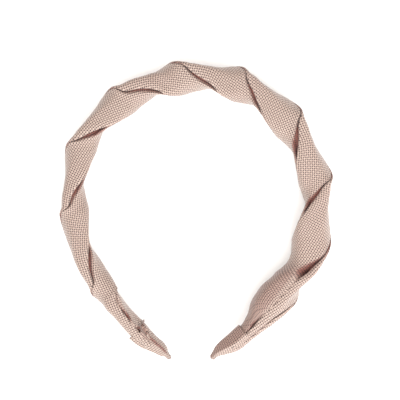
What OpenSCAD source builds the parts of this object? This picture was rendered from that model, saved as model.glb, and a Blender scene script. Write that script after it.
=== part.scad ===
// Twisted fabric headband (alice band), lying on its side.
// +Y points to the crown, X runs across the mouth, +Z is up through the band's width.
// The origin is under the middle of the band's outline, on the surface that it lies on.

/* [Band outline] */
// Radius of the band's centre line over the crown of the head
crown_r = 63.5; // [58:0.5:70]
// Angle that the crown arc covers on each side of its top
crown_angle = 118; // [112:1:122]
// Radius of the flatter arc that each arm follows down to its tip
arm_r = 140; // [120:5:170]
// Angle that each arm's arc turns through
arm_angle = 28.5; // [24:0.5:29]

/* [Core] */
// Width of the springy core strip over the crown
core_w = 6; // [4:0.5:6]
// Width of the core strip at its two ends
core_end_w = 4; // [3:0.5:4]
// Thickness of the core strip
core_t = 1.4; // [1:0.1:1.6]
// How far short of the band's very tip the core stops
core_stop = 6; // [5:0.5:8]
// Radius of the round sponge sleeve on the core
sponge_r = 3.4; // [3.3:0.1:3.5]

/* [Twisted strands] */
// Length of band in which the two strands make one full turn
twist_pitch = 66; // [56:1:90]
// Place past the crown's top where the pair stands widest in the band's plane
twist_start = -8.5; // [-30:0.5:30]
// Half of the pair's long way across
pair_long = 8.5; // [7.5:0.1:9]
// Half of the pair's short way across
pair_short = 5.4; // [5.4:0.1:6]
// How square the pair's section is, from 2 for an ellipse upwards
pair_square = 2.6; // [2.2:0.1:3.2]
// How much deeper than wide the wrapped section is
pair_depth = 1.1; // [1:0.05:1.2]
// Angle from the pair's long axis to the crease between the strands
crease_angle = 35; // [20:1:50]
// Thickness of each strand's cloth
cloth_t = 0.45; // [0.35:0.05:0.45]
// Radius of the pair where it goes into the end caps
end_r = 4.2; // [4.1:0.1:4.3]
// How far from the cap's edge the left arm starts to get slimmer
left_taper = 50; // [20:1:60]
// How far from the cap's edge the right arm starts to get slimmer
right_taper = 20; // [15:1:60]

/* [End caps] */
// Length of each cloth end cap
cap_len = 23.5; // [22:0.5:26]
// Half width of the cap at its edge
cap_edge_r = 5.6; // [5.6:0.1:6]
// Thickness of the cap's cloth
cap_t = 0.45; // [0.3:0.05:0.45]
// Thickness of the binding thread
thread_d = 0.45; // [0.3:0.05:0.5]
// Turns of binding thread at each end
thread_turns = 3; // [2:1:4]

/* [Hidden] */
$fn = 96;

left = -1;
right = 1;
// Arc lengths on one side of the crown's top
crown_len = crown_r * crown_angle * PI / 180;
half_len = crown_len + arm_r * arm_angle * PI / 180;
// Height of the centre line, so that the lowest fold just touches the surface
mid_z = pair_long * pair_depth + 0.01;
// The crown arc's centre, which puts the origin under the middle of the outline
crown_y = 5.18;
// Distance between the two arcs' centres
arc_shift = arm_r - crown_r;

// Clearances
split_gap = 0.5;
nest_gap = 0.15;
// Hole through the twisted pair, round the sponge and then round the bare core
hole_r = 3.75;
hole_end_r = 2.6;
sponge_end = crown_len - 2;
hole_taper = 18;
// Ring points on the outer and inner side of a strand, and rings along it
outer_pts = 9;
inner_pts = 7;
strand_rings = 76;
// The strands stop inside the caps, and their wadding a little before them
cap_edge_s = half_len - cap_len;
cloth_end_s = cap_edge_s + 11;
wadding_end_s = cap_edge_s + 9;
// The last stretch before the caps, where the short axis slims down
short_taper = 16;

// Heading of the centre line, in degrees from +X, at distance s past the crown's top
function heading(s) = abs(s) <= crown_len
    ? s / crown_r * 180 / PI
    : sign(s) * (crown_angle + (abs(s) - crown_len) / arm_r * 180 / PI);
function outward(s) = [sin(heading(s)), cos(heading(s)), 0];
function arc_centre(s) = abs(s) <= crown_len
    ? [0, crown_y, mid_z]
    : [-sign(s) * arc_shift * sin(crown_angle), crown_y - arc_shift * cos(crown_angle), mid_z];
function arc_r(s) = abs(s) <= crown_len ? crown_r : arm_r;
// A point u outwards and v upwards of the centre line
function place(s, u, v) = arc_centre(s) + (arc_r(s) + u) * outward(s) + [0, 0, v];

function ease(x) = let (t = max(0, min(1, x))) t * t * (3 - 2 * t);
function mix(a, b, t) = a + (b - a) * t;
// How full the pair's long and short axes are: 0 at the cap, 1 where it is full size
function long_fill(s) = ease((cap_edge_s - abs(s)) / (s < 0 ? left_taper : right_taper));
function short_fill(s) = ease((cap_edge_s - abs(s)) / short_taper);
function long_half(s) = mix(end_r, pair_long, long_fill(s));
function short_half(s) = mix(end_r, pair_short, short_fill(s));
function depth(s) = mix(1, pair_depth, short_fill(s));
function hole(s) = mix(hole_r, hole_end_r, ease((abs(s) - sponge_end - 2) / hole_taper));
function twist(s) = 360 * (s - twist_start) / twist_pitch;

// Distance from the middle of the pair to its outside, at angle a from its long axis
function pair_r(s, a) =
    let (power = mix(2, pair_square, short_fill(s)))
    pow(pow(abs(cos(a)) / long_half(s), power) + pow(abs(sin(a)) / short_half(s), power), -1 / power);
// Angles of n points round half of the pair that stay g clear of the plane parting the strands
function half_turn(g, r, n) =
    let (edge = asin(g / r))
    [for (i = [0:n - 1]) mix(edge, 180 - edge, i / (n - 1))];
// One strand's section: side is 0 or 180, and inset shrinks it for its hollow or wadding
function strand_section(s, side, inset) =
    let (g = split_gap / 2 + inset,
         inner_r = hole(s) + inset,
         turn = twist(s) + crease_angle + side,
         outer = [for (a = half_turn(g, pair_r(s, crease_angle) - inset, outer_pts))
                     (pair_r(s, a + crease_angle) - inset) * [cos(a + turn), sin(a + turn)]],
         inner = [for (a = half_turn(g, inner_r, inner_pts))
                     inner_r * [cos(180 - a + turn), sin(180 - a + turn)]])
    [for (p = concat(outer, inner)) [p[0], p[1] * depth(s)]];
function strand_ring(s, side, inset) = [for (p = strand_section(s, side, inset)) place(s, p[0], p[1])];

// Round section for the caps and the glue
function round_ring(s, r, n) = [for (i = [0:n - 1]) place(s, r * cos(360 * i / n), r * sin(360 * i / n))];

// Triangles of a skin over rings of n points; the edges before back_to have diagonals that lean back
function skin(first, rings, n, back_to, inside) =
    [for (j = [0:rings - 2]) for (i = [0:n - 1])
        let (a = first + j * n + i, b = first + j * n + (i + 1) % n, lean_back = i < back_to)
        each (lean_back
            ? (inside ? [[a, b, a + n], [b, b + n, a + n]] : [[a, a + n, b], [b, a + n, b + n]])
            : (inside ? [[a, b, b + n], [a, b + n, a + n]] : [[a, a + n, b + n], [a, b + n, b]]))];
// Flat ring of triangles that closes the gap between an outer and an inner ring
function annulus(outer, inner, n, at_end) =
    [for (i = [0:n - 1])
        let (k = (i + 1) % n)
        each (at_end
            ? [[outer + i, inner + k, outer + k], [outer + i, inner + i, inner + k]]
            : [[outer + i, outer + k, inner + k], [outer + i, inner + k, inner + i]])];
// Flat lid over one ring
function lid(first, n, at_end) = at_end ? [[for (i = [n - 1:-1:0]) first + i]] : [[for (i = [0:n - 1]) first + i]];
// Fan of triangles from the last ring to a point beyond it
function fan(first, n, tip, inside) =
    [for (i = [0:n - 1])
        let (a = first + i, b = first + (i + 1) % n)
        inside ? [a, b, tip] : [a, tip, b]];

// Solid sweep over a list of rings
module solid_sweep(rings, back_to = 0) {
    n = len(rings[0]);
    last = (len(rings) - 1) * n;
    polyhedron([for (ring = rings) each ring],
               concat(skin(0, len(rings), n, back_to, false), lid(0, n, false), lid(last, n, true)));
}

// Sweep with a hollow through it, open at both ends
module tube_sweep(outer, inner, back_to = 0) {
    n = len(outer[0]);
    start = len(outer) * n;
    last = (len(outer) - 1) * n;
    polyhedron(concat([for (ring = outer) each ring], [for (ring = inner) each ring]),
               concat(skin(0, len(outer), n, back_to, false),
                      skin(start, len(inner), n, back_to, true),
                      annulus(0, start, n, false),
                      annulus(last, start + last, n, true)));
}

// Bar that follows the arc through distance s between two headings, with the given profile
module along_arc(s, turn_from, turn_to) {
    translate(arc_centre(s))
        rotate([0, 0, 90 - turn_to])
            rotate_extrude(angle = turn_to - turn_from)
                translate([arc_r(s), 0])
                    children();
}
// The same along one arm, from the inner heading to the outer one
module along_arm(arm, turn_in, turn_out) {
    if (arm > 0) along_arc(half_len, turn_in, turn_out) children();
    else along_arc(-half_len, -turn_out, -turn_in) children();
}

// Outline of the core seen along X: full width over the crown, slimmer to the ends
module core_side_outline() {
    wide = core_w / 2;
    slim = core_end_w / 2;
    slim_from = crown_y - crown_r / 2;
    slim_to = slim_from - 25;
    top = crown_y + crown_r + core_t;
    bottom = crown_y - 2 * crown_r;
    polygon([[top, wide], [slim_from, wide], [slim_to, slim], [bottom, slim],
             [bottom, -slim], [slim_to, -slim], [slim_from, -wide], [top, -wide]]);
}

// Springy plastic strip that gives the band its grip, a hair thinner along the arms
module core_band() color("ivory") {
    lap = 1;
    thinning = 0.06;
    intersection() {
        union() {
            along_arc(0, -crown_angle, crown_angle)
                square([core_t, core_w], center = true);
            for (arm = [left, right])
                along_arm(arm, crown_angle - lap, heading(half_len - core_stop))
                    square([core_t - thinning, core_w - thinning], center = true);
        }
        translate([0, 0, mid_z])
            rotate([90, 0, 90])
                linear_extrude(4 * crown_r, center = true)
                    core_side_outline();
    }
}

// Round sponge sleeve that beds the strands over the crown
module core_sponge() color("white") {
    room = 0.1;
    along_arc(0, -heading(sponge_end), heading(sponge_end))
        difference() {
            circle(sponge_r);
            square([core_t + room, core_w + room], center = true);
        }
}

function station(i, count, end_s) = mix(-end_s, end_s, i / (count - 1));

// Folded cloth tube of one strand
module strand_cloth(side) {
    inset = cloth_t;
    stops = [for (i = [0:strand_rings - 1]) station(i, strand_rings, cloth_end_s)];
    tube_sweep([for (s = stops) strand_ring(s, side, 0)],
               [for (s = stops) strand_ring(s, side, inset)],
               outer_pts - 1);
}

// Soft filling of one strand
module strand_wadding(side) {
    inset = cloth_t + nest_gap;
    stops = [for (i = [0:strand_rings - 1]) station(i, strand_rings, cloth_end_s)];
    kept = [for (s = stops) if (abs(s) <= wadding_end_s) s];
    solid_sweep([for (s = kept) strand_ring(s, side, inset)], outer_pts - 1);
}

module strand_a_cloth() color("tan") strand_cloth(0);
module strand_b_cloth() color("rosybrown") strand_cloth(180);
module strand_a_wadding() color("whitesmoke") strand_wadding(0);
module strand_b_wadding() color("whitesmoke") strand_wadding(180);

// Leaf-shaped cloth pocket glued over one tip: distance from its edge, and half width
cap_outline = [[0, cap_edge_r], [5, cap_edge_r + 0.4], [10, cap_edge_r + 0.2], [14.5, 4.8],
               [18.5, 3.2], [21, 2.4], [cap_len - 0.6, 1.6]];
cap_hollow = [[0, cap_edge_r - cap_t], [5, cap_edge_r + 0.4 - cap_t], [10, cap_edge_r + 0.2 - cap_t],
              [14.5, 4.8 - cap_t - 0.1], [17.5, 3.2]];
cap_pts = 16;

module end_cap(arm) {
    n = cap_pts;
    outer = [for (p = cap_outline) round_ring(arm * (cap_edge_s + p[0]), p[1], n)];
    inner = [for (p = cap_hollow) round_ring(arm * (cap_edge_s + p[0]), p[1], n)];
    outer_tip = place(arm * half_len, 0, 0);
    inner_tip = place(arm * (cap_edge_s + 18.5), 0, 0);
    start = len(outer) * n;
    tips = start + len(inner) * n;
    flip = arm < 0;
    polyhedron(concat([for (ring = outer) each ring], [for (ring = inner) each ring],
                      [outer_tip, inner_tip]),
               concat(skin(0, len(outer), n, 0, flip),
                      skin(start, len(inner), n, 0, !flip),
                      annulus(0, start, n, flip),
                      fan(start - n, n, tips, flip),
                      fan(tips - n, n, tips + 1, !flip)));
}

module end_cap_left() color("burlywood") end_cap(left);
module end_cap_right() color("burlywood") end_cap(right);

// Collar of set glue round the core, between the strands' ends and the cap
module tip_glue(arm) {
    along_arm(arm, heading(cap_edge_s + 11.5), heading(cap_edge_s + 15))
        difference() {
            circle(3.1);
            square([core_t + 0.1, core_end_w + 0.1], center = true);
        }
}

module tip_glue_left() color("khaki") tip_glue(left);
module tip_glue_right() color("khaki") tip_glue(right);

// Turns of thread that hold the strands' ends on the core
module binding_thread(arm) {
    thread_step = 1.2;
    for (i = [0:thread_turns - 1]) {
        s = arm * (cap_edge_s + 6 + i * thread_step);
        translate(place(s, 0, 0))
            rotate([0, 90, -heading(s)])
                rotate_extrude()
                    translate([end_r + thread_d / 2 + 0.06, 0])
                        circle(d = thread_d, $fn = 24);
    }
}

module binding_thread_left() color("saddlebrown") binding_thread(left);
module binding_thread_right() color("saddlebrown") binding_thread(right);

core_band();
core_sponge();
strand_a_cloth();
strand_b_cloth();
strand_a_wadding();
strand_b_wadding();
end_cap_left();
end_cap_right();
tip_glue_left();
tip_glue_right();
binding_thread_left();
binding_thread_right();
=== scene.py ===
"""Looks of a twisted cloth headband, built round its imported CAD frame."""

import math

import bpy
import numpy as np
from bpy.props import FloatProperty, FloatVectorProperty, IntProperty, PointerProperty
from bpy.types import Operator, Panel, PropertyGroup
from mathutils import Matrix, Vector


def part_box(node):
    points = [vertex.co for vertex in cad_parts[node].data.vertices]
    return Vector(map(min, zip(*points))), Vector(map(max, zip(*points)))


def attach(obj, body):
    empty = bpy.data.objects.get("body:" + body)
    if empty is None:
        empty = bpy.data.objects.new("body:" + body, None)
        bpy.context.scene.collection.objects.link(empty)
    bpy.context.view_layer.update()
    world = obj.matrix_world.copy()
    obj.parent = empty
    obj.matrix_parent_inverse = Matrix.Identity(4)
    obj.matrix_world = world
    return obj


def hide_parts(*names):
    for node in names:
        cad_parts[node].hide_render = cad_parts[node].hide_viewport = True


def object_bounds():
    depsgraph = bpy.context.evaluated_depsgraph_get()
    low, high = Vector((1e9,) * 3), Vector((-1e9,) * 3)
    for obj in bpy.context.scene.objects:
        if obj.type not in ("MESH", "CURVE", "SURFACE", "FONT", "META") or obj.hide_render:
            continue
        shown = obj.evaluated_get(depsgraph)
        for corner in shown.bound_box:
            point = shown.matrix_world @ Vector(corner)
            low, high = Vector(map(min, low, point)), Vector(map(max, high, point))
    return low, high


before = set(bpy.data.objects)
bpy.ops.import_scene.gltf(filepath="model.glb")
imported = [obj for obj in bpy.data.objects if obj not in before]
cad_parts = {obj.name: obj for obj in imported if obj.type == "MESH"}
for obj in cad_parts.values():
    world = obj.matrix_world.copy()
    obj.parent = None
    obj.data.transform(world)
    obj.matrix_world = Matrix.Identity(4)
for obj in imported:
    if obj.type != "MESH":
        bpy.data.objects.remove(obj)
CAD_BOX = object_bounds()

bl_info = {
    "name": "Twisted Headband",
    "version": (1, 0, 0),
    "blender": (4, 5, 0),
    "location": "View3D > Sidebar > Headband",
    "description": "Builds a padded headband of two cloth strands twisted round a core",
    "category": "Add Mesh",
}

MM = 0.001
ROOT = "root"
LEFT, RIGHT = -1, 1
SIDE_NAMES = {LEFT: "left", RIGHT: "right"}

# Half of the core strip's thickness, and how far short of the tips the strands stop, in mm
HALF_CORE = 0.7
STRANDS_STOP = 12.5

# Where each crease on the viewer's side leaves the outer edge and reaches the inner edge,
# in mm past the crown's top, and how far it gapes open near its inner end. The first two and
# the last two are near the ends, where the edges run on along the arms instead.
CREASES = [(-214, -194, 0), (-182, -160, 0), (-149.5, -129, 0.9), (-108, -91, 1.3),
           (-75, -59, 1.8), (-42, -22, 0.5), (-11, 8, 0.6), (21, 35, 0.9), (53, 70, 2.0),
           (87, 101, 1.6), (119, 137, 0), (152, 192, 0)]
# A strand's top edge goes round once over two creases: (legs gone, degrees from outwards),
# where a leg is a crease, or the way from one crease to the next
TURN = [(0, 5), (0.25, 48), (0.6, 86), (1, 126), (1.5, 155), (2, 178), (2.35, 210), (3, 268),
        (3.5, 318), (3.85, 348)]
# How much further round an edge already is a quarter of the way along a crease, in degrees
EARLY = {2: 15, 3: 15, 5: 13, 6: -14}
# Where the two strands' top edges run near the ends: (mm past the crown's top, degrees)
EDGE_STARTS = ([], [(-200, 88), (-178, 99), (-168, 102), (-161, 110), (-155, 138)])
EDGE_ENDS = ([(119, 1805), (124, 1826), (131, 1846), (140, 1869), (160, 1881), (172, 1888),
              (200, 1900)],
             [(152, 1805), (158, 1824), (163, 1836), (172, 1842), (200, 1860)])
# How far the edges gape open near the ends, in mm
GAPE_ENDS = ([(124, 0.4), (136, 2.5), (142, 0), (167, 0), (172.5, 1.3), (176, 0.3), (181, 0)],
             [(-182, 2.4), (-177.2, 2.0), (-175.2, 0), (-174, 0), (-169, 1.4), (-161, 0),
              (160, 0)])
# Where the edges lie flush instead of standing proud: (mm past the crown's top, how much)
FLUSH = ([(136, 0), (143, 0.9), (162, 0.9), (171, 0.2)],
         [(-177.2, 0), (-175.4, 0.8), (-173.5, 0.8), (-169, 0), (-160, 0.6), (-150, 0.2),
          (155, 0), (170, 0.5)])
# A strand's section from its top edge back to the next strand's: (degrees, part of the reach)
SECTION = [(-20, 0.9), (0, 1), (12, 0.93), (30, 0.85), (48, 0.8), (58, 0.74), (80, 0.67),
           (105, 0.63), (135, 0.69), (160, 0.82), (172, 0.93), (180, 1), (192, 0.93),
           (210, 0.85), (260, 0.7)]
# How far the top edges reach from the middle, in mm
REACH = [(-200, 5), (-188, 5.4), (-176, 6.0), (-166, 6.5), (-159, 8.0), (-152, 6.8), (-144, 7.2),
         (-132, 8.8), (-124, 7.7), (-106, 7.8), (-74, 8.0), (-42, 8.9), (-12, 9.1), (22, 9.4),
         (52, 9.7), (88, 9.2), (122, 10.3), (133, 9.9), (146, 11.8), (152, 12.0), (160, 11.2),
         (166, 9.6), (172, 7.0), (178, 5.8), (188, 5.2), (200, 4.8)]
# The reach of a strand of ordinary size, and how much bigger than that its folds may get
FULL_REACH = 9
BIGGEST = 1.05
# How far outwards the pair sits off the centre line, in mm
OFF_CENTRE = [(-200, 0.6), (-180, 0.9), (-164, 0.4), (-144, 0), (-126, 0), (-106, -1.5),
              (-90, -0.9), (-74, 0.5), (-62, 0.5), (-42, 0), (-12, -0.1), (5, 0.3), (22, 0.5),
              (33, 0.3), (52, -0.3), (69, -0.9), (88, 0), (100, -0.3), (122, 0.7), (133, 1.5),
              (144, -0.9), (152, -1.2), (164, -0.8), (172, 0.4), (178, 0.9), (200, 0.6)]
# How high over the centre line the strands are pressed flatter, in mm
FLAT_TOP = [(-200, 4.4), (-160, 4.8), (130, 5.0), (141, 7.4), (158, 7.6), (170, 5.6), (200, 4.4)]
# How far from the middle the strands' undersides keep, for the core and its sponge, in mm
CORE_SPACE = [(-200, 2.6), (-150, 2.7), (-128, 3.7), (128, 3.7), (150, 2.7), (200, 2.6)]
# Mesh points over a strand's rolled edge, along its underside and across its wadding
ROLL_POINTS = 9
UNDER_POINTS = 40
WADDING_POINTS = 24

# Each end cap: (mm from the tip, half width, half depth, off the centre line)
CAP_PROFILES = {
    LEFT: [(0, 0.9, 0.8, 0.9), (1.2, 1.4, 1.3, 0.8), (3.2, 1.8, 1.6, 0.5), (5, 3.0, 2.4, 0.3),
           (8, 3.9, 3.1, 0.1), (12, 4.6, 3.8, 0.6), (16, 5.2, 4.4, 1.3), (20, 5.8, 4.7, 1.2),
           (24, 5.9, 4.8, 1.1)],
    RIGHT: [(0, 1.1, 1.0, 0.3), (1.2, 1.7, 1.5, 0.2), (3.2, 2.1, 1.8, -0.3),
            (5, 2.9, 2.4, -0.5), (8, 4.0, 3.2, -0.3), (12, 5.0, 3.9, 0.3), (16, 5.5, 4.5, 0.6),
            (20, 5.6, 4.6, 0.5), (24, 5.6, 4.8, 0.5)],
}
# Each cap's flat sides, as the directions that they face, in degrees from outwards
CAP_SIDES = {LEFT: (0, 62, 148, 190, 232, 270, 308), RIGHT: (0, 45, 128, 180, 232, 270, 308)}
# The folded seam along the left cap, and the right cap's ridge: degrees from outwards
SEAM = [(0, 100), (4, 107), (10, 108), (13, 116), (16, 124), (19, 142), (23, 152)]
RIDGE = 86
# Rings along a cap and mesh points round it
CAP_RINGS = 90
CAP_POINTS = 96


# ---- settings

class BandShape(PropertyGroup):
    crown_radius: FloatProperty(
        name="Crown radius", description="Radius of the centre line over the crown",
        default=63.5 * MM, unit="LENGTH")
    crown_angle: FloatProperty(
        name="Crown angle", description="Half of the angle that the crown arc covers",
        default=math.radians(118), subtype="ANGLE")
    arm_radius: FloatProperty(
        name="Arm radius", description="Radius of the flatter arc along each arm",
        default=140 * MM, unit="LENGTH")
    arm_angle: FloatProperty(
        name="Arm angle", description="Angle that each arm turns through",
        default=math.radians(28.5), subtype="ANGLE")


class StrandShape(PropertyGroup):
    depth: FloatProperty(
        name="Depth", description="How much deeper than wide the wrapped section is",
        default=1.0, min=0.8, max=1.3)
    pressing: FloatProperty(
        name="Pressing", description="How strongly the strands are pressed flat on top",
        default=0.88, min=0, max=1)
    edge_radius: FloatProperty(
        name="Edge radius", description="Radius of the folded edge that lies on top",
        default=0.7 * MM, unit="LENGTH")
    tuck: FloatProperty(
        name="Tuck", description="How far each strand runs on under the next one",
        default=4.0 * MM, unit="LENGTH")
    dip: FloatProperty(
        name="Dip", description="How deep a strand dives where the next one covers it",
        default=2.4 * MM, unit="LENGTH")
    cloth_thickness: FloatProperty(
        name="Cloth thickness", description="Thickness of the woven cloth",
        default=0.45 * MM, unit="LENGTH")
    step: FloatProperty(
        name="Step", description="Distance between the mesh's rings along the band",
        default=0.8 * MM, unit="LENGTH")
    face_points: IntProperty(
        name="Face points", description="Mesh points across the face of a strand",
        default=96, min=24, max=300)


class CapShape(PropertyGroup):
    left_length: FloatProperty(
        name="Left length", description="Length of the left end cap", default=23 * MM, unit="LENGTH")
    right_length: FloatProperty(
        name="Right length", description="Length of the right end cap", default=22.5 * MM, unit="LENGTH")
    cloth_thickness: FloatProperty(
        name="Cloth thickness", description="Thickness of the caps' cloth",
        default=0.45 * MM, unit="LENGTH")
    squareness: FloatProperty(
        name="Squareness", description="How crisp the ridges between a cap's flat sides are",
        default=9, min=2, max=20)
    fray: FloatProperty(
        name="Fray", description="Length of the loose threads at the left cap's mouth",
        default=1.6 * MM, unit="LENGTH")
    loose_threads: IntProperty(
        name="Loose threads", description="Number of loose threads at the left cap's mouth",
        default=60, min=0, max=200)
    loose_diameter: FloatProperty(
        name="Loose thread diameter", description="Diameter of one loose thread",
        default=0.16 * MM, unit="LENGTH")
    cut_width: FloatProperty(
        name="Cut width", description="Width of a cap's flat piece of cloth, once round its mouth",
        default=34 * MM, unit="LENGTH")
    cut_length: FloatProperty(
        name="Cut length", description="Length of a cap's flat piece of cloth",
        default=23 * MM, unit="LENGTH")
    cut_part: FloatProperty(
        name="Cut part", description="How much of its rectangle the leaf-shaped cut fills",
        default=0.68, min=0.3, max=1)


class ThreadShape(PropertyGroup):
    diameter: FloatProperty(
        name="Thread diameter", description="Diameter of the binding thread",
        default=0.45 * MM, unit="LENGTH")
    turns: IntProperty(
        name="Turns", description="Turns of thread round each end", default=4, min=1, max=12)
    place: FloatProperty(
        name="Place", description="Distance along the centre line from the crown's top to the thread",
        default=183 * MM, unit="LENGTH")


class ClothLook(PropertyGroup):
    thread_pitch: FloatProperty(
        name="Thread pitch", description="Distance from one thread to the next",
        default=1.15 * MM, unit="LENGTH")
    thread_relief: FloatProperty(
        name="Thread relief", description="Height of the threads over the gaps between them",
        default=0.3 * MM, unit="LENGTH")
    across_colour: FloatVectorProperty(
        name="Colour across", description="Colour of the threads across the strand", subtype="COLOR",
        size=3, default=(0.36, 0.268, 0.225), min=0, max=1)
    along_colour: FloatVectorProperty(
        name="Colour along", description="Colour of the threads along the strand", subtype="COLOR",
        size=3, default=(0.48, 0.375, 0.315), min=0, max=1)
    dull_colour: FloatVectorProperty(
        name="Dull colour", description="Colour that the threads turn to in duller patches",
        subtype="COLOR", size=3, default=(0.30, 0.19, 0.16), min=0, max=1)
    # painted shade: the colour down in the gaps between the threads
    gap_shade_colour: FloatVectorProperty(
        name="Gap colour", description="Colour down between the threads", subtype="COLOR",
        size=3, default=(0.03, 0.012, 0.01), min=0, max=1)
    # painted shade: the cloth's colour is multiplied by this where the mesh marks shade, deepest in the
    # creases
    shade_colour: FloatVectorProperty(
        name="Crease colour", description="What the cloth's colour is multiplied by deep in the creases",
        subtype="COLOR", size=3, default=(0.42, 0.15, 0.11), min=0, max=1)


class StageLook(PropertyGroup):
    floor_colour: FloatVectorProperty(
        name="Floor colour", description="Colour of the plain floor", subtype="COLOR",
        size=3, default=(0.92, 0.92, 0.92), min=0, max=1)
    camera_height: FloatProperty(
        name="Camera height", description="Height of the camera over the floor",
        default=0.9, unit="LENGTH")
    view_width: FloatProperty(
        name="View width", description="Width of floor that the camera takes in",
        default=0.206, unit="LENGTH")
    view_middle: FloatVectorProperty(
        name="View middle", description="Place that the camera stands over", unit="LENGTH",
        size=2, default=(3 * MM, 5.5 * MM))
    camera_turn: FloatProperty(
        name="Camera turn", description="How far the camera is turned about its own axis",
        default=math.radians(1.1), subtype="ANGLE")
    room_dark: FloatProperty(
        name="Room's dark side", description="Strength of the room's light on its dark side",
        default=0.35, min=0, max=8)
    room_bright: FloatProperty(
        name="Room's bright side", description="Strength of the room's light on its bright side",
        default=2.5, min=0, max=8)
    dark_colour: FloatVectorProperty(
        name="Dark side's colour", description="Colour of the room's light on its dark side",
        subtype="COLOR", size=3, default=(1.0, 0.90, 0.83), min=0, max=1)
    bright_colour: FloatVectorProperty(
        name="Bright side's colour", description="Colour of the room's light on its bright side",
        subtype="COLOR", size=3, default=(0.97, 1.0, 1.0), min=0, max=1)
    key_power: FloatProperty(
        name="Key light", description="Power of the light over the open mouth's side",
        default=6.0, min=0, max=100, unit="POWER")
    fill_power: FloatProperty(
        name="Fill light", description="Power of the light overhead",
        default=1.0, min=0, max=100, unit="POWER")


# ---- helpers

def curve_through(knots, at):
    """Smooth curve through (place, value) knots that doesn't overshoot them."""
    x, y = (np.array(v, float) for v in zip(*sorted(knots)))
    h, d = np.diff(x), np.diff(y) / np.diff(x)
    both, product = d[:-1] + d[1:], d[:-1] * d[1:]
    inner = np.where(product > 0, 2 * product / np.where(both == 0, 1, both), 0)
    slope = np.concatenate([[d[0]], inner, [d[-1]]])
    at = np.clip(at, x[0], x[-1])
    i = np.clip(np.searchsorted(x, at) - 1, 0, len(h) - 1)
    t = (at - x[i]) / h[i]
    return ((2 * t**3 - 3 * t**2 + 1) * y[i] + (t**3 - 2 * t**2 + t) * h[i] * slope[i]
            + (3 * t**2 - 2 * t**3) * y[i + 1] + (t**3 - t**2) * h[i] * slope[i + 1])


def ease(x):
    """0 up to 0, 1 from 1, and smooth in between."""
    t = np.clip(x, 0, 1)
    return t * t * (3 - 2 * t)


def hump(x):
    """1 at 0, falling to nearly 0 at 2 either way."""
    return np.exp(-(x ** 2))


def ripple(seed, *places):
    """Soft unevenness from -1 to 1, made of a few waves with fixed seeded directions."""
    draw = np.random.default_rng(seed)
    waves = 6
    total = 0
    for _ in range(waves):
        turn = sum(p * k for p, k in zip(places, draw.normal(0, 1, len(places))))
        total = total + np.sin(turn + draw.uniform(0, 2 * math.pi))
    return total / waves


def unit(vectors, least=1e-9):
    """Vectors made 1 long, unless they are shorter than least."""
    return vectors / np.maximum(np.linalg.norm(vectors, axis=-1, keepdims=True), least)


class Band:
    """The band's centre line, and what the twisted pair does along it, in mm and radians."""

    def __init__(self):
        shape = bpy.context.scene.headband_band
        self.crown_r = shape.crown_radius / MM
        self.arm_r = shape.arm_radius / MM
        self.crown_angle = shape.crown_angle
        self.crown_len = self.crown_r * shape.crown_angle
        self.half_len = self.crown_len + self.arm_r * shape.arm_angle
        core_low, core_high = (np.array(c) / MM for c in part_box("core_band"))
        self.mid_z = (core_low[2] + core_high[2]) / 2
        self.crown_y = core_high[1] - HALF_CORE - self.crown_r

    def heading(self, s):
        """How far the centre line has turned at s, in radians."""
        over = np.maximum(np.abs(s) - self.crown_len, 0)
        on_crown = np.minimum(np.abs(s), self.crown_len) / self.crown_r
        return np.sign(s) * (on_crown + over / self.arm_r)

    def place(self, s, u, v):
        """Points u outwards and v up from the centre line, in metres."""
        s, u, v = np.broadcast_arrays(np.asarray(s, float), u, v)
        turn = self.heading(s)
        on_arm = np.abs(s) > self.crown_len
        radius = np.where(on_arm, self.arm_r, self.crown_r) + u
        shift = np.where(on_arm, self.arm_r - self.crown_r, 0)
        x = -np.sign(s) * shift * math.sin(self.crown_angle) + radius * np.sin(turn)
        y = self.crown_y - shift * math.cos(self.crown_angle) + radius * np.cos(turn)
        return np.stack([x, y, self.mid_z + v], axis=-1) * MM

    def edge_turn(self, s, side):
        """Angle of one strand's top edge, from outwards towards the viewer's side, in radians."""
        starts = EDGE_STARTS[side]
        knots = list(starts) + list(EDGE_ENDS[side])
        first = starts[-1][0] if starts else -math.inf
        for i in range(side, len(CREASES) - 2, 2):
            (out_a, in_a, _), (out_b, in_b, _) = CREASES[i:i + 2]
            legs = [out_a, in_a, out_b, in_b, CREASES[i + 2][0]]
            for part, turn in TURN:
                leg = min(int(part), 3)
                at = legs[leg] + (part - leg) * (legs[leg + 1] - legs[leg])
                further = EARLY.get(i, 0) if part == 0.25 else 0
                if at > first:
                    knots.append((at, turn + further + 180 * (i - side)))
        return np.radians(curve_through(knots, s))

    def gape(self, s, side):
        """How far the creases under one strand's top edge gape open, in mm."""
        starts, widest, past_end = 0.2, 0.8, 7
        knots = list(GAPE_ENDS[side])
        for outer, inner, wide in CREASES[2 + side:len(CREASES) - 2:2]:
            knots += [(outer + starts * (inner - outer), 0),
                      (outer + widest * (inner - outer), wide), (inner + past_end, 0)]
        return curve_through(knots, s)


def new_piece(name, verts, faces, uv=None, tucked=None):
    """Object from arrays; uv holds one pair and tucked, the amount of painted shade, one number for each
    vertex.
    """
    mesh = bpy.data.meshes.new(name)
    faces = faces.tolist() if isinstance(faces, np.ndarray) else faces
    mesh.from_pydata(verts.reshape(-1, 3).tolist(), [], faces)
    if uv is not None:
        layer = mesh.uv_layers.new(name="Cloth")
        corner = np.zeros(len(mesh.loops), np.int32)
        mesh.loops.foreach_get("vertex_index", corner)
        layer.data.foreach_set("uv", uv.reshape(-1, 2)[corner].ravel())
    if tucked is not None:
        mark = mesh.attributes.new("tucked", "FLOAT", "POINT")
        mark.data.foreach_set("value", tucked)
    mesh.polygons.foreach_set("use_smooth", [True] * len(mesh.polygons))
    mesh.update()
    piece = bpy.data.objects.new(name, mesh)
    bpy.context.scene.collection.objects.link(piece)
    return piece


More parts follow.
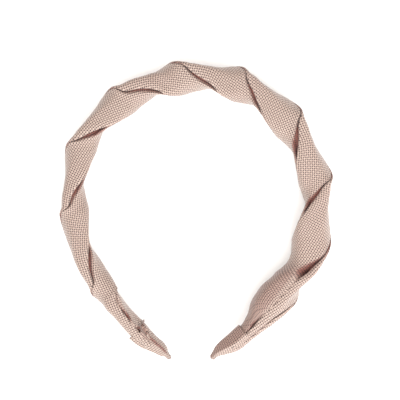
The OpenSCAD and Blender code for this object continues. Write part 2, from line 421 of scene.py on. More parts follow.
def wall(rows, ring, first=0, inside=False):
    """Quads of a closed wall over rows of ring points each."""
    j, i = np.meshgrid(np.arange(rows - 1), np.arange(ring), indexing="ij")
    a = first + j * ring + i
    b = first + j * ring + (i + 1) % ring
    quads = np.stack([a, b, b + ring, a + ring], axis=-1).reshape(-1, 4)
    return quads[:, ::-1] if inside else quads


def rim(outer, inner, ring, at_end):
    """Quads between an outer and an inner ring."""
    i = np.arange(ring)
    k = (i + 1) % ring
    quads = np.stack([outer + i, outer + k, inner + k, inner + i], axis=-1)
    return quads if at_end else quads[:, ::-1]


def tube(path, radius, sides=8):
    """Closed tube along a path of points, all in metres."""
    path = np.asarray(path)
    ahead = unit(np.gradient(path, axis=0))
    side = unit(np.cross(ahead, (0.12, 0.2, 1.0)))
    up = np.cross(side, ahead)
    turn = np.linspace(0, 2 * math.pi, sides, endpoint=False)[None, :, None]
    points = path[:, None] + radius * (np.cos(turn) * side[:, None] + np.sin(turn) * up[:, None])
    last = (len(path) - 1) * sides
    ends = [list(range(sides))[::-1], list(range(last, last + sides))]
    return points.reshape(-1, 3), wall(len(path), sides).tolist() + ends


def offset_ring(ring, distance):
    """Rings of (u, v) points moved inwards along their own normals."""
    ahead = np.roll(ring, -1, axis=1) - np.roll(ring, 1, axis=1)
    normal = unit(np.stack([ahead[..., 1], -ahead[..., 0]], axis=-1), 1e-6)
    return ring + normal * distance


def rows_between(x, runs, line):
    """Points along each row's line at distances x."""
    out = np.empty(x.shape + (2,))
    for i, (at, run, points) in enumerate(zip(x, runs, line)):
        out[i, :, 0] = np.interp(at, run, points[:, 0])
        out[i, :, 1] = np.interp(at, run, points[:, 1])
    return out


def outward_normals(points):
    """Normals of rows of (u, v) points, away from the middle."""
    d = np.gradient(points, axis=1)
    n = unit(np.stack([-d[..., 1], d[..., 0]], axis=-1))
    return np.where((n * points).sum(-1, keepdims=True) < 0, -n, n)


def rest_on_floor(points, band):
    """Flatten (u, v) points softly where the strand rests on the floor."""
    clearance, softness = 0.1, 0.3
    lowest = clearance - band.mid_z
    above = (points[..., 1] - lowest) / softness
    points[..., 1] = lowest + softness * np.logaddexp(0, above)


# ---- materials

def node(tree, kind, label="", **values):
    made = tree.nodes.new(kind)
    made.label = label
    for key, value in values.items():
        setattr(made, key, value)
    return made


def set_or_link(tree, socket, value):
    """Give a socket another node's output, a number, or a colour."""
    if isinstance(value, bpy.types.NodeSocket):
        tree.links.new(value, socket)
    elif isinstance(value, (int, float)):
        socket.default_value = value
    else:
        socket.default_value = (*value[:3], 1)


def math_node(tree, operation, *values, label=""):
    """Output of a math node on numbers or other nodes' outputs."""
    made = node(tree, "ShaderNodeMath", label, operation=operation)
    for socket, value in zip(made.inputs, values):
        set_or_link(tree, socket, value)
    return made.outputs[0]


def blend_colour(tree, factor, a, b, mode="MIX", label=""):
    made = node(tree, "ShaderNodeMix", label, data_type="RGBA", blend_type=mode)
    for socket, value in ((made.inputs[0], factor), (made.inputs[6], a), (made.inputs[7], b)):
        set_or_link(tree, socket, value)
    return made.outputs[2]


def noise(tree, place, scale, detail, label):
    made = node(tree, "ShaderNodeTexNoise", label)
    made.inputs["Scale"].default_value = scale
    made.inputs["Detail"].default_value = detail
    tree.links.new(place, made.inputs["Vector"])
    return made.outputs["Fac"]


def bumped(tree, shader, height, strength, distance, label):
    """Let a height raise the surface's relief."""
    bump = node(tree, "ShaderNodeBump", label)
    bump.inputs["Strength"].default_value = strength
    bump.inputs["Distance"].default_value = distance
    tree.links.new(height, bump.inputs["Height"])
    tree.links.new(bump.outputs[0], shader.inputs["Normal"])


def base_material(name, roughness=0.5, sheen=0.0):
    material = bpy.data.materials.new(name)
    material.use_nodes = True
    tree = material.node_tree
    shader = tree.nodes["Principled BSDF"]
    shader.inputs["Roughness"].default_value = roughness
    shader.inputs["Sheen Weight"].default_value = sheen
    return material, tree, shader


def plain_weave(tree, place, pitch):
    """Height of a plain weave's threads, whether one that runs across is on top, and how far
    the threads fill the cloth."""
    uv = node(tree, "ShaderNodeUVMap", "cloth threads", uv_map="Cloth").outputs["UV"]
    split = node(tree, "ShaderNodeSeparateXYZ")
    tree.links.new(uv, split.inputs[0])
    waver_scale, waver_mm = 60, 1.2
    uneven = noise(tree, place, waver_scale, 2, "uneven threads")
    waver = math_node(tree, "MULTIPLY", uneven, waver_mm)
    turns = math.pi / pitch
    # one half wave for each thread: those across follow each other along the strand
    waves = []
    for distance in split.outputs[:2]:
        swayed = math_node(tree, "ADD", distance, waver)
        waves.append(math_node(tree, "SINE", math_node(tree, "MULTIPLY", swayed, turns)))
    flat_tops = 0.6
    heights, widths = [], []
    for wave, other, operation in zip(waves, waves[::-1], ("ADD", "SUBTRACT")):
        width = math_node(tree, "ABSOLUTE", wave)
        rounded = math_node(tree, "POWER", width, flat_tops)
        turn = math_node(tree, "MULTIPLY", math_node(tree, "SIGN", wave), other)
        over = math_node(tree, operation, 0.5, math_node(tree, "MULTIPLY", turn, 0.5))
        heights.append(math_node(tree, "MULTIPLY", rounded, over, label="threads over and under"))
        widths.append(width)
    height = math_node(tree, "MAXIMUM", *heights, label="weave height")
    across_on_top = math_node(tree, "GREATER_THAN", *heights)
    return height, across_on_top, math_node(tree, "MAXIMUM", *widths)


def woven_cloth(name):
    """Coarse plain weave with a soft lustre, with painted shade between its threads and in the creases.
    """
    look = bpy.context.scene.headband_cloth
    material, tree, shader = base_material(name, sheen=0.25)
    place = node(tree, "ShaderNodeNewGeometry").outputs["Position"]
    height, across_on_top, filled = plain_weave(tree, place, look.thread_pitch / MM)
    # colour of the threads, duller in patches
    patch_scale, most_dull = 35, 0.6
    patch = noise(tree, place, patch_scale, 3, "lustre patches")
    thread = blend_colour(tree, across_on_top, look.along_colour, look.across_colour,
                          label="thread colour")
    darkening = math_node(tree, "MULTIPLY", patch, most_dull)
    uneven = blend_colour(tree, darkening, thread, look.dull_colour, label="duller patches")
    # painted shade in the holes where the threads leave the cloth open, and lower down on the threads
    hole = node(tree, "ShaderNodeMapRange", "holes between threads", interpolation_type="SMOOTHSTEP")
    hole.inputs["From Min"].default_value = 0.55
    hole.inputs["From Max"].default_value = 0.95
    tree.links.new(filled, hole.inputs["Value"])
    low_shade, relief_shade = 0.82, 0.2
    relief = math_node(tree, "ADD", math_node(tree, "MULTIPLY", height, relief_shade), low_shade)
    shade = math_node(tree, "MULTIPLY", hole.outputs[0], relief)
    colour = blend_colour(tree, shade, look.gap_shade_colour, uneven, label="gaps between threads")
    # painted shade, darker and redder, wherever the mesh's tucked attribute marks it: in the creases,
    # under the rolled edges, on the undersides and inside the caps
    tucked = node(tree, "ShaderNodeAttribute", "depth in the creases", attribute_name="tucked")
    creased = blend_colour(tree, 1.0, colour, look.shade_colour, "MULTIPLY")
    colour = blend_colour(tree, tucked.outputs["Fac"], colour, creased,
                          label="darker and redder in the creases")
    tree.links.new(colour, shader.inputs["Base Color"])
    # smoother on top of the threads, with a change of lustre from patch to patch
    low_rough, smoother, patchy, patch_change = 0.72, 0.28, 1.6, 0.06
    rough = math_node(tree, "SUBTRACT", low_rough, math_node(tree, "MULTIPLY", height, smoother))
    cloudy = math_node(tree, "MULTIPLY", math_node(tree, "SUBTRACT", patch, 0.5), patchy)
    change = math_node(tree, "MULTIPLY", cloudy, patch_change)
    tree.links.new(math_node(tree, "ADD", rough, change), shader.inputs["Roughness"])
    bumped(tree, shader, height, 0.9, look.thread_relief, "thread relief")
    return material


def plain_material(name, colour, roughness, scale, strength, sheen=0.0):
    """Even material with a fine uneven surface, for the pieces inside."""
    material, tree, shader = base_material(name, roughness, sheen=sheen)
    place = node(tree, "ShaderNodeNewGeometry").outputs["Position"]
    grain = noise(tree, place, scale, 4, "grain")
    darker = [0.8 * c for c in colour]
    shade = blend_colour(tree, grain, darker, colour, label="shade")
    tree.links.new(shade, shader.inputs["Base Color"])
    bumped(tree, shader, grain, strength, 0.3 * MM, "uneven surface")
    return material


def dress(piece, material, replaces=None):
    """Give a piece its material, its body and its slot, and hide the CAD node that it stands for."""
    if not len(piece.data.polygons):
        raise RuntimeError(f"{piece.name} has no faces")
    piece.data.materials.clear()
    piece.data.materials.append(material)
    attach(piece, ROOT)
    if replaces:
        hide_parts(replaces)


# ---- strands

class Strand:
    """One folded strand's sections at stations s along the band, as (u, v) points in mm.

    Every array has one row for each station. Distances run over the pair's outside, from this
    strand's top edge back to where it is tucked under the next strand's edge.
    """

    def __init__(self, band, s, side, seed):
        self.shape = bpy.context.scene.headband_strands
        self.band, self.s, self.seed = band, s, seed
        self.reach = curve_through(REACH, s)[:, None]
        self.off = curve_through(OFF_CENTRE, s)[:, None]
        self.size = np.minimum(self.reach / FULL_REACH, BIGGEST)
        self.edge_r = self.shape.edge_radius / MM * self.size
        self.gape = band.gape(s, 1 - side)[:, None]
        self.flush = curve_through(FLUSH[1 - side], s)[:, None]
        gape_dip = 0.55
        self.dip = self.shape.dip / MM * self.size * (1 - self.flush) + gape_dip * self.gape
        self.tuck = self.shape.tuck / MM * self.size
        self.top = band.edge_turn(s, side)[:, None]
        self.span = np.mod(self.top - band.edge_turn(s, 1 - side)[:, None], 2 * math.pi)
        self.line, self.run, self.covered = self.outside()
        self.end = self.covered + self.tuck
        self.at, self.out, self.line_at, self.cover = self.face()
        self.roll = self.rolled_edge()
        self.under_at, self.under = self.underside()
        for points in (self.roll, self.cover, self.under):
            rest_on_floor(points, band)

    def outside(self):
        """Pair's outside from this top edge back past the next, and where the next one covers it."""
        points, past_edge = 240, math.radians(55)
        span, half_turn = self.span, 180
        back = np.linspace(0, 1, points)[None, :] * (span + past_edge)
        over = (back - span) / (2 * math.pi - span)
        part = np.where(back < span, back / span, 1 + over) * half_turn
        # an even section where the two top edges lie close together
        even_part, closest, spread = 0.8, 0.5, 1.6
        apart = ease((np.minimum(span, 2 * math.pi - span) - closest) / spread)
        radius = (even_part + (curve_through(SECTION, part) - even_part) * apart) * self.reach
        angle = self.top - back
        # pressed flat on top, with a fairly sharp corner
        corner = 12
        top_height = curve_through(FLAT_TOP, self.s)[:, None]
        height = np.maximum(radius * np.sin(angle), 0) / top_height
        radius = radius * (1 + height**corner) ** (-self.shape.pressing / corner)
        line = np.stack([radius * np.cos(angle),
                         radius * np.sin(angle) * self.shape.depth], axis=-1)
        steps = np.linalg.norm(np.diff(line, axis=1), axis=-1)
        run = np.concatenate([np.zeros((len(self.s), 1)), np.cumsum(steps, axis=1)], axis=1)
        covered = [np.interp(w, b, r) for w, b, r in zip(span[:, 0], back, run)]
        return line, run, np.array(covered)[:, None]

    def face(self):
        """The strand's face: distances, normals, points on the outside, and the cloth's points."""
        size = self.size
        share = np.linspace(0, 1, self.shape.face_points)[None, :]
        at = self.edge_r + share * (self.end - self.edge_r)
        line_at = rows_between(at, self.run, self.line)
        out = outward_normals(line_at)
        dive_from, dive_past = 2.2, 0.8
        start = self.covered - (dive_from + self.gape) * size
        dive = self.dip * ease((at - start) / (self.covered + dive_past - start))
        plump_height, plump_at, plump_width = 0.3, 3.0, 2.0
        plump = plump_height * size * hump((at - plump_at * size) / (plump_width * size))
        wrinkle_height, smooth_edge = 0.14, 3
        folds = ripple(self.seed, self.s[:, None] * 0.25 - at * 0.1, at * 0.6)
        wrinkle = wrinkle_height * folds * ease(at / smooth_edge) * size
        return at, out, line_at, line_at + out * (plump + wrinkle - dive)[..., None]

    def rolled_edge(self):
        """The rolled top edge, from underneath to the face."""
        out, radius = self.out[:, :1], self.edge_r[..., None]
        hub = self.line_at[:, :1] - out * radius
        forward = np.stack([out[..., 1], -out[..., 0]], axis=-1)
        ahead = self.line_at[:, :1] - self.line_at[:, 1:2]
        forward = np.where((forward * ahead).sum(-1, keepdims=True) < 0, -forward, forward)
        bend = np.radians(np.linspace(-90, 78, ROLL_POINTS))[None, :, None]
        return hub + radius * (np.cos(bend) * forward + np.sin(bend) * out)

    def underside(self):
        """The underside, from the tail back to the rolled edge: distances and points."""
        start = 1.6 * self.edge_r
        at = start + np.linspace(1, 0, UNDER_POINTS)[None, :] * (self.end - start)
        line = rows_between(at, self.run, self.line)
        reach = np.linalg.norm(line, axis=-1)
        beyond_tuck, fade, tail_len = 1.0, 3.0, 4
        near_edge = 1 - ease((at - self.tuck - beyond_tuck) / fade)
        near_tail = ease((at - (self.covered - tail_len * self.size)) / tail_len)
        low = curve_through(CORE_SPACE, self.s)[:, None]
        tail_thickness = 1.1
        thin = np.maximum(reach - 2 * self.edge_r, low)
        tail = np.maximum(reach - self.dip - tail_thickness * self.size, low)
        radius = low + (thin - low) * near_edge
        radius = radius + (tail - radius) * near_tail
        return at, line / reach[..., None] * radius[..., None]

    def ring(self):
        """Closed rings of the cloth's outer side."""
        ring = np.concatenate([self.roll, self.cover, self.under], axis=1)
        ring[..., 0] += self.off
        return ring

    def threads(self):
        """Place on the cloth, in mm: its threads keep straight and lie along the creases."""
        slant, mean_radius = math.radians(17), 7
        rolled = np.linspace(-1.5, 1, ROLL_POINTS)[None, :] * self.edge_r
        back = np.concatenate([rolled, self.at, 2 * self.end - self.under_at], axis=1)
        round_mm = mean_radius * self.top - back
        along = self.s[:, None]
        return np.stack([along * math.cos(slant) + round_mm * math.sin(slant),
                         round_mm * math.cos(slant) - along * math.sin(slant)], axis=-1)

    def tucked(self):
        """How much painted shade each point of the ring gets, from 0 to 1: more the deeper in a crease
        it lies, and all of it on the hidden underside.
        """
        shade_from, gape_more, shade_width = 2.0, 1.6, 2.4
        from_cover = self.at - self.covered + (shade_from + gape_more * self.gape) * self.size
        shade = ease(from_cover / (shade_width * self.size))
        rows, visible = len(self.s), ROLL_POINTS + self.shape.face_points
        tucked = np.concatenate([np.zeros((rows, ROLL_POINTS)), shade,
                                 np.ones((rows, UNDER_POINTS))], axis=1)
        # painted shade under the rolled edge, and where it turns over the outer edge
        tucked[:, :ROLL_POINTS] = np.linspace(0.7, 0, ROLL_POINTS)[None, :]
        over_edge = np.mod(self.top + math.pi, 2 * math.pi) - math.pi
        darkest, dark_at, dark_width, dark_points = 0.55, 0.15, 0.28, 16
        over_dark = darkest * hump((over_edge - dark_at) / dark_width)
        tucked[:, :dark_points] += over_dark * np.linspace(1, 0, dark_points)[None, :]
        in_view = np.arange(tucked.shape[1]) < visible
        tucked = np.clip(tucked * (1 - self.flush * in_view), 0, 1)
        # painted shade on the inner side of the right arm, growing towards its end
        inward = -self.cover[..., 0] / np.linalg.norm(self.cover, axis=-1)
        inner_shade_most, inner_shade_from, inner_shade_over = 0.38, 130, 12
        darkened = inner_shade_most * ease((self.s[:, None] - inner_shade_from) / inner_shade_over) * ease((inward + 0.2) / 0.4)
        face = tucked[:, ROLL_POINTS:visible]
        tucked[:, ROLL_POINTS:visible] = np.maximum(face, darkened)
        return tucked

    def wadding(self):
        """Closed rings of the wadding between the face and the underside, where it is thick."""
        start, stop, gape_room, shortest, margin = 2.2, 3.2, 1.5, 3.4, 0.28
        end = np.maximum(self.covered - stop - gape_room * self.gape, shortest)
        at = start + np.linspace(0, 1, WADDING_POINTS)[None, :] * (end - start)
        top = rows_between(at, self.at, self.cover)
        low = rows_between(at, self.under_at[:, ::-1], self.under[:, ::-1])
        upper = top + (low - top) * margin
        lower = low + (top - low) * margin
        wadding = np.concatenate([upper, lower[:, ::-1]], axis=1)
        wadding[..., 0] += self.off
        return wadding


def strand_stations(band):
    """Stations of the strands' rings, and the numbers of the fewer ones used inside."""
    reach = band.half_len - STRANDS_STOP
    count = int(2 * reach / (bpy.context.scene.headband_strands.step / MM))
    few = np.unique(np.linspace(0, count - 1, count // 3).astype(int))
    return np.linspace(-reach, reach, count), few


class HEADBAND_OT_strands(Operator):
    """Make the two folded cloth strands and their wadding"""

    bl_idname = "headband.strands"
    bl_label = "Twisted strands"

    def execute(self, context):
        band = Band()
        thickness = context.scene.headband_strands.cloth_thickness / MM
        s, few = strand_stations(band)
        cloth = woven_cloth("rose_gold_weave")
        filling = plain_material("polyester_wadding", (0.9, 0.89, 0.86), 0.95, 900, 0.8, sheen=0.4)
        for side, letter in enumerate("ab"):
            strand = Strand(band, s, side, seed=11 + side)
            ring, uv, tucked = strand.ring(), strand.threads(), strand.tucked()
            n = ring.shape[1]
            outer = band.place(s[:, None], ring[..., 0], ring[..., 1])
            inner_ring = offset_ring(ring[few], thickness)
            inner = band.place(s[few][:, None], inner_ring[..., 0], inner_ring[..., 1])
            start = len(s) * n
            end = start + (len(few) - 1) * n
            faces = [wall(len(s), n), wall(len(few), n, start, inside=True),
                     rim(0, start, n, False), rim(start - n, end, n, True)]
            piece = new_piece(
                f"strand_{letter}_cloth_folds",
                np.concatenate([outer.reshape(-1, 3), inner.reshape(-1, 3)]),
                np.concatenate(faces),
                uv=np.concatenate([uv.reshape(-1, 2), uv[few].reshape(-1, 2)]),
                tucked=np.concatenate([tucked.ravel(), tucked[few].ravel()]))
            dress(piece, cloth, f"strand_{letter}_cloth")
            # the wadding stops short of the strand's ends
            inside = slice(2, -4)
            wadding = strand.wadding()[few][inside]
            m = wadding.shape[1]
            points = band.place(s[few][inside, None], wadding[..., 0], wadding[..., 1])
            last = (len(points) - 1) * m
            ends = [list(range(m))[::-1], list(range(last, last + m))]
            pad = new_piece(f"strand_{letter}_padding", points, wall(len(points), m).tolist() + ends)
            dress(pad, filling, f"strand_{letter}_wadding")
        return {"FINISHED"}


# ---- end caps

def cap_section(side, from_tip, angle):
    """Radius of a cap all round at distances from its tip, and how far off centre it sits, in mm."""
    places, *sizes = zip(*CAP_PROFILES[side])
    half_w, half_d, off = (curve_through(list(zip(places, size)), from_tip) for size in sizes)
    x, y = np.cos(angle) / half_w, np.sin(angle) / half_d
    power = bpy.context.scene.headband_caps.squareness
    flats = 0
    for facing in np.radians(CAP_SIDES[side]):
        flats = flats + np.maximum(x * math.cos(facing) + y * math.sin(facing), 0) ** power
    flat_size = 0.93
    return flat_size * flats ** (-1 / power), off


def seam_fold(from_tip, angle, length):
    """Left cap: one edge of the cloth is folded over the other along the seam, and frays.
    Painted shade lies along the seam, in the hollow beside it and along the frayed mouth.
    """
    past = angle - np.radians(curve_through(SEAM, from_tip))
    near_mouth = ease((from_tip - 13) / 5)
    started = ease((from_tip - 2) / 3)
    # widths either side of the seam, in radians
    line_width, over_width, over_start = 0.16, 0.9, 0.1
    under_width = 0.25 + 0.5 * ease((from_tip - 12) / 6)
    under = hump(past / under_width) * (past < 0)
    over = hump(past / over_width) * ease(past / over_start)
    over_height, under_depth, deeper = 0.45, 0.5, 0.5
    fold = (over_height * over - (under_depth + deeper * near_mouth) * under) * started
    # painted shade along the seam line, and in the hollow beside it near the mouth
    line_dark, hollow_dark, mouth_edge_shade = 0.95, 0.6, 0.6
    line = line_dark * hump(past / line_width) * started * (1 - 0.6 * near_mouth)
    hollow = hollow_dark * under * near_mouth
    # painted shade along the frayed mouth over the last stretch, on the inner side of the seam
    frayed = ease((from_tip - length + 1.3) / 0.8) * ease((angle - 1.9) / 0.3)
    frayed = mouth_edge_shade * frayed * ease((3.6 - angle) / 0.3)
    return fold, np.maximum(np.maximum(line, hollow), frayed)


def ridge_fold(from_tip, angle):
    """Right cap: a crisp ridge where the two upper sides meet, and painted shade on the inner side."""
    ridge_height, ridge_width = 0.3, 0.16
    ridge = hump((angle - math.radians(RIDGE)) / ridge_width)
    fold = ridge_height * ridge * ease((from_tip - 3) / 6)
    # painted shade over the cap's inner side
    darkening = 0.42
    return fold, darkening * ease((angle - 1.45) / 0.2) * ease((4.5 - angle) / 0.5)


def cap_rings(band, side, length):
    """Rings of a cap from its tip to its mouth: distances from the tip, (u, v) points, the
    points' angles, and the painted shade in the folds."""
    closer_rings = 0.8
    part = 1 - np.cos(np.linspace(0, 1, CAP_RINGS) * math.pi / 2) ** closer_rings
    from_tip = (part * length)[:, None]
    angle = np.linspace(0, 2 * math.pi, CAP_POINTS, endpoint=False)[None, :]
    radius, off = cap_section(side, from_tip, angle)
    if side == LEFT:
        fold, shade = seam_fold(from_tip, angle, length)
    else:
        fold, shade = ridge_fold(from_tip, angle)
    # pinched and twisted at the nub, with painted shade there, and a little uneven everywhere else
    twist_depth, uneven_depth, nub_dark, rounding = 0.12, 0.12, 0.35, 0.8
    twist = twist_depth * np.sin(3 * angle + 0.9 * from_tip) * ease(1 - (from_tip - 2) / 5)
    uneven = uneven_depth * ripple(31 + side, angle, from_tip * 0.35) * ease(from_tip / 5)
    shade = np.maximum(shade, nub_dark * ease(1.0 - from_tip))
    tip = np.sqrt(np.clip(from_tip / rounding, 0, 1))
    radius = radius * tip + (fold + twist + uneven) * tip
    rings = np.stack([radius * np.cos(angle) + off, radius * np.sin(angle)], axis=-1)
    return from_tip, rings, angle, shade


def cap_mouth_edge(side, angle):
    """How much further along the band the mouth's edge reaches at each angle, in mm. The left
    one is cut more unevenly, with a notch on top."""
    rough = {LEFT: 0.55, RIGHT: 0.25}[side]
    edge = rough * ripple(5 + side, angle * 2.0, 1.0)
    if side == LEFT:
        notch_depth, notch_at, notch_width = 1.8, 1.85, 0.3
        edge = edge - notch_depth * hump((angle - notch_at) / notch_width)
    return edge


def loose_threads(band, mouth, angle):
    """Short frayed threads along the inner corner of the left cap's mouth."""
    shape = bpy.context.scene.headband_caps
    draw = np.random.default_rng(7)
    middle = band.place(-band.half_len + shape.left_length / MM, 1.0, 0.0)
    mouth_reach = 6 * MM
    # how the threads lie: the part that is in the cloth, then outwards, aside and curled up
    rooted, outwards, aside, curled = 0.25, 0.4, 0.5, 0.35
    ahead = band.place(-170.0, 0.0, 0.0) - band.place(-178.0, 0.0, 0.0)
    ahead = ahead / np.linalg.norm(ahead)
    verts, faces = [], []
    for _ in range(shape.loose_threads):
        turn = math.radians(draw.triangular(100, 165, 200))
        root = mouth[int(np.argmin(np.abs(angle - turn)))]
        out = (root - middle) / mouth_reach
        sway = draw.normal(0, 0.5, 3)
        reach = shape.fray * draw.uniform(0.4, 1.0)
        t = np.linspace(0, 1, 7)[:, None]
        straight = (t - rooted) * (ahead + outwards * out + aside * sway)
        curl = curled * t**2 * (out + sway)
        points, sides = tube(root + reach * (straight + curl), shape.loose_diameter / 2, 6)
        faces += [[len(verts) + i for i in face] for face in sides]
        verts += points.tolist()
    threads = new_piece("cap_left_loose_threads", np.array(verts), faces)
    fibre = plain_material("frayed_fibre", (0.24, 0.17, 0.155), 0.7, 4000, 0.5, sheen=0.4)
    dress(threads, fibre)
    return threads


class HEADBAND_OT_caps(Operator):
    """Make the two folded cloth pockets over the band's ends"""

    bl_idname = "headband.caps"
    bl_label = "End caps"

    def execute(self, context):
        band = Band()
        shape = context.scene.headband_caps
        thickness = shape.cloth_thickness / MM
        lengths = {LEFT: shape.left_length / MM, RIGHT: shape.right_length / MM}
        cloth = woven_cloth("rose_gold_cap_weave")
        for side in (LEFT, RIGHT):
            from_tip, ring, angle, shade = cap_rings(band, side, lengths[side])
            s = side * (band.half_len - from_tip)
            smooth_part = 0.6 * lengths[side]
            near = ease((from_tip - smooth_part) / (lengths[side] - smooth_part))
            at = s - side * cap_mouth_edge(side, angle) * near
            outer = band.place(at, ring[..., 0], ring[..., 1])
            # the inner side is closer to the middle, but never comes to a point at the nub
            middle = ring.mean(axis=1, keepdims=True)
            reach = np.linalg.norm(ring - middle, axis=-1, keepdims=True)
            smallest = 0.35
            shrink = np.maximum(1 - thickness / np.maximum(reach, 0.1), smallest)
            inner_ring = middle + (ring - middle) * shrink
            depth = side * thickness * np.exp(-from_tip)
            inner = band.place(at - depth, inner_ring[..., 0], inner_ring[..., 1])
            count = CAP_RINGS * CAP_POINTS
            mouth = count - CAP_POINTS
            flip = side == RIGHT
            faces = np.concatenate([
                wall(CAP_RINGS, CAP_POINTS, 0, inside=not flip),
                wall(CAP_RINGS, CAP_POINTS, count, inside=flip),
                rim(mouth, count + mouth, CAP_POINTS, flip)]).tolist()
            tip_ring = list(range(CAP_POINTS))
            faces.append(tip_ring[::-1] if flip else tip_ring)
            faces.append([count + i for i in (tip_ring if flip else tip_ring[::-1])])
            mean_radius, thread_slant = 5.0, 0.15
            across = np.broadcast_to(mean_radius * angle, shade.shape)
            uv = np.stack([s + thread_slant * across, across], axis=-1).reshape(-1, 2)
            # the folds' painted shade on the outer side, and full painted shade all over the inner side
            piece = new_piece(
                f"cap_{SIDE_NAMES[side]}_folds",
                np.concatenate([outer.reshape(-1, 3), inner.reshape(-1, 3)]),
                faces, uv=np.concatenate([uv, uv]),
                tucked=np.concatenate([shade.ravel(), np.ones(count)]))
            dress(piece, cloth, f"end_cap_{SIDE_NAMES[side]}")
            loose = [loose_threads(band, outer[-1], angle[0])] if side == LEFT else []
        return {"FINISHED"}


# ---- threads and core

class HEADBAND_OT_threads(Operator):
    """Make the threads that bind the strands inside the caps"""

    bl_idname = "headband.threads"
    bl_label = "Binding threads"

    def execute(self, context):
        band = Band()
        shape = context.scene.headband_threads
        cotton = plain_material("binding_cotton", (0.75, 0.60, 0.52), 0.8, 3000, 0.9, sheen=0.3)
        points_per_turn, rise, pulled_in = 60, 0.6, 0.72
        for side in (LEFT, RIGHT):
            turn = np.linspace(0, 2 * math.pi * shape.turns, points_per_turn * shape.turns)
            s = side * (shape.place / MM + rise * turn / (2 * math.pi))
            reach = pulled_in * curve_through(REACH, s)
            off = curve_through(OFF_CENTRE, s)
            path = band.place(s, off + reach * np.cos(turn), reach * np.sin(turn))
            verts, faces = tube(path, shape.diameter / 2)
            piece = new_piece(f"thread_{SIDE_NAMES[side]}_wound", verts, faces)
            dress(piece, cotton, f"binding_thread_{SIDE_NAMES[side]}")
        return {"FINISHED"}


class HEADBAND_OT_core(Operator):
    """Give the core, its sponge and the tip glue their materials"""

    bl_idname = "headband.core"
    bl_label = "Core materials"

    def execute(self, context):
        plastic = plain_material("core_plastic_look", (0.85, 0.84, 0.80), 0.35, 400, 0.1)
        sponge = plain_material("core_sponge_look", (0.93, 0.90, 0.80), 0.95, 1800, 1.0)
        glue = plain_material("tip_glue_look", (0.90, 0.82, 0.62), 0.25, 300, 0.3)
        looks = {"core_band": plastic, "core_sponge": sponge,
                 "tip_glue_left": glue, "tip_glue_right": glue}
        for name, look in looks.items():
            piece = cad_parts.get(name)
            if piece is None or not piece.material_slots:
                raise RuntimeError(f"no piece with a material called {name}")
            for slot in piece.material_slots:
                slot.material = look
        return {"FINISHED"}


# ---- stage

def soft_room(look):
    """World whose light gets stronger and cooler towards one low side."""
    world = bpy.data.worlds.new("soft_room")
    world.use_nodes = True
    sky = world.node_tree
    background = sky.nodes["Background"]
    ray = node(sky, "ShaderNodeTexCoord", "direction of the light").outputs["Generated"]
    lean = node(sky, "ShaderNodeVectorMath", "towards the bright side", operation="DOT_PRODUCT")
    lean.inputs[1].default_value = Vector((0.2, -0.8, 0.45)).normalized()
    sky.links.new(ray, lean.inputs[0])
    power = node(sky, "ShaderNodeMapRange", "stronger on the bright side")
    power.inputs["From Min"].default_value = -1
    power.inputs["To Min"].default_value = look.room_dark
    power.inputs["To Max"].default_value = look.room_bright
    sky.links.new(lean.outputs["Value"], power.inputs["Value"])
    sky.links.new(power.outputs[0], background.inputs["Strength"])
    share = math_node(sky, "MULTIPLY_ADD", lean.outputs["Value"], 0.5, 0.5,
                      label="share of the bright side")
    tone = blend_colour(sky, share, look.dark_colour, look.bright_colour,
                        label="warmer on the dark side")
    sky.links.new(tone, background.inputs["Color"])
    return world


def area_light(name, place, size, power):
    """Square light that points at the middle of the stage."""
    data = bpy.data.lights.new(name, "AREA")
    data.size = size
    data.energy = power
    lamp = bpy.data.objects.new(name, data)
    lamp.location = place
    lamp.rotation_euler = (-Vector(place)).to_track_quat("-Z", "Y").to_euler()
    bpy.context.scene.collection.objects.link(lamp)


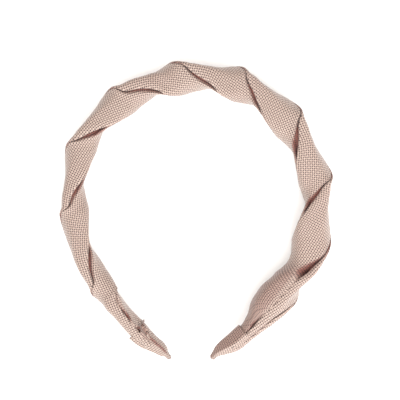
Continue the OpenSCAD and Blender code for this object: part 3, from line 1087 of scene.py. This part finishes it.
class HEADBAND_OT_stage(Operator):
    """Make the floor, the lights and the camera"""

    bl_idname = "headband.stage"
    bl_label = "Stage"

    def execute(self, context):
        look = context.scene.headband_stage
        material, _, shader = base_material("plain_floor", 0.9)
        shader.inputs["Base Color"].default_value = (*look.floor_colour, 1)
        half = 3.0
        corners = [(-half, -half, 0), (half, -half, 0), (half, half, 0), (-half, half, 0)]
        floor = new_piece("floor", np.array(corners), [[0, 1, 2, 3]])
        floor.data.materials.append(material)
        context.scene.world = soft_room(look)
        area_light("key_light", (0.3, -0.6, 0.65), 0.5, look.key_power)
        area_light("fill_light", (-0.2, 0.2, 0.9), 0.8, look.fill_power)
        camera_data = bpy.data.cameras.new("camera")
        sensor = 36
        object_middle = CAD_BOX[1][2] / 2
        camera_data.sensor_width = sensor
        camera_data.lens = sensor * (look.camera_height - object_middle) / look.view_width
        camera = bpy.data.objects.new("camera", camera_data)
        camera.location = (*look.view_middle, look.camera_height)
        camera.rotation_euler = (0, 0, look.camera_turn)
        context.scene.collection.objects.link(camera)
        context.scene.camera = camera
        context.scene.view_settings.view_transform = "Standard"
        return {"FINISHED"}


class HEADBAND_PT_tools(Panel):
    """Lists the headband's pieces"""

    bl_idname = "HEADBAND_PT_tools"
    bl_label = "Headband"
    bl_space_type = "VIEW_3D"
    bl_region_type = "UI"
    bl_category = "Headband"

    def draw(self, context):
        for operator in OPERATORS:
            self.layout.operator(operator.bl_idname, text=operator.bl_label)


OPERATORS = (HEADBAND_OT_stage, HEADBAND_OT_core, HEADBAND_OT_strands, HEADBAND_OT_threads,
             HEADBAND_OT_caps)
GROUPS = {"headband_band": BandShape, "headband_strands": StrandShape,
          "headband_caps": CapShape, "headband_threads": ThreadShape,
          "headband_cloth": ClothLook, "headband_stage": StageLook}
CLASSES = (*GROUPS.values(), *OPERATORS, HEADBAND_PT_tools)


def register():
    for kind in CLASSES:
        bpy.utils.register_class(kind)
    for name, group in GROUPS.items():
        setattr(bpy.types.Scene, name, PointerProperty(type=group))


def unregister():
    for name in GROUPS:
        delattr(bpy.types.Scene, name)
    for kind in reversed(CLASSES):
        bpy.utils.unregister_class(kind)


def main():
    register()
    bpy.ops.headband.stage()
    bpy.ops.headband.core()
    bpy.ops.headband.strands()
    bpy.ops.headband.threads()
    bpy.ops.headband.caps()


if __name__ == "__main__":
    main()
